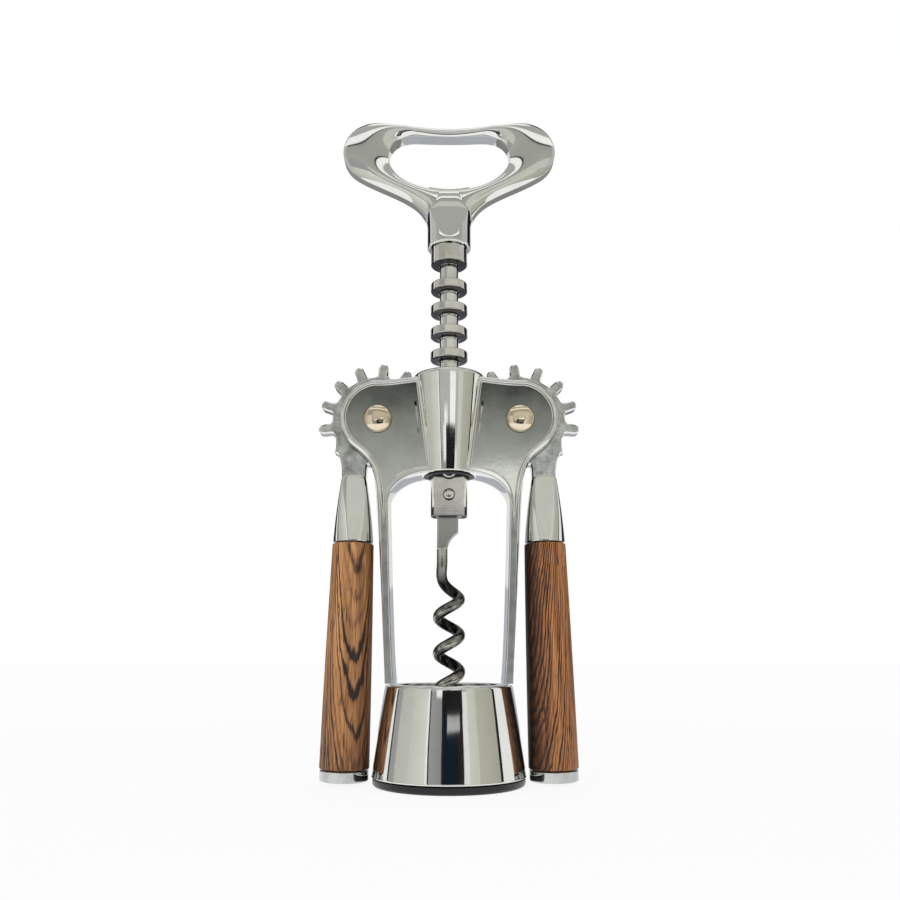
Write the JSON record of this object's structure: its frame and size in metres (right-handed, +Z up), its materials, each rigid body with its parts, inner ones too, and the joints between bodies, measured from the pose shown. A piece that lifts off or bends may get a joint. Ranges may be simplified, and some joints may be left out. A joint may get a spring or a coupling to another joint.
{
  "type": "winged corkscrew",
  "caption": "Winged corkscrew with a bell base, geared side levers with wooden grips, a turning rack stem, a wire worm and a ring handle.",
  "frame": {"origin": "centre of the bell's base, on the surface that the corkscrew stands on", "axes": "+Z up along the stem, towards the ring handle; -Y is the front; +X towards the right lever"},
  "size_m": [0.0724, 0.0396, 0.1893],
  "materials": {
    "chrome_casting": "mirror-bright chrome plate over a zinc casting",
    "pin_nickel": "bright nickel plate with a slightly warm tone",
    "rack_steel": "turned and polished steel",
    "worm_steel": "dark nickel over hardened steel wire",
    "bush_black": "moulded black nylon",
    "washer_brass": "plain stamped brass",
    "grip_wood": "oiled open-grain brown wood with dark streaks",
    "seal_rubber": "satin black rubber"
  },
  "bodies": {
    "frame": {"frame_casting": "chrome_casting", "bell": "chrome_casting", "bell_seal_ring": "seal_rubber", "left_pivot_pin": "pin_nickel", "left_pivot_cap": "pin_nickel", "left_front_washer": "washer_brass", "left_rear_washer": "washer_brass", "right_pivot_pin": "pin_nickel", "right_pivot_cap": "pin_nickel", "right_front_washer": "washer_brass", "right_rear_washer": "washer_brass"},
    "bush": {"guide_bush": "bush_black"},
    "stem": {"rack_stem": "rack_steel", "handle_ring": "chrome_casting", "worm": "worm_steel", "lower_worm_rivet": "rack_steel", "upper_worm_rivet": "rack_steel"},
    "left_arm": {"left_lever": "chrome_casting", "left_grip": "grip_wood", "left_end_cap": "chrome_casting"},
    "right_arm": {"right_lever": "chrome_casting", "right_grip": "grip_wood", "right_end_cap": "chrome_casting"}
  },
  "joints": [
    {"name": "handle_turn", "type": "hinge", "parent": "frame", "child": "bush", "pos_m": [0, 0, 0.0805], "axis": [0, 0, 1], "continuous": true},
    {"name": "stem_slide", "type": "slide", "parent": "bush", "child": "stem", "axis": [0, 0, -1], "range_m": [0, 0.036]},
    {"name": "left_lever_hinge", "type": "hinge", "parent": "frame", "child": "left_arm", "pos_m": [-0.0196, 0, 0.0955], "axis": [0, 1, 0], "range_deg": [0, 133]},
    {"name": "right_lever_hinge", "type": "hinge", "parent": "frame", "child": "right_arm", "pos_m": [0.0196, 0, 0.0955], "axis": [0, -1, 0], "range_deg": [0, 133]}
  ],
  "couplings": [
    {"joint": "left_lever_hinge", "follows": "stem_slide", "rad_per_m": 64.115},
    {"joint": "right_lever_hinge", "follows": "stem_slide", "rad_per_m": 64.115}
  ]
}
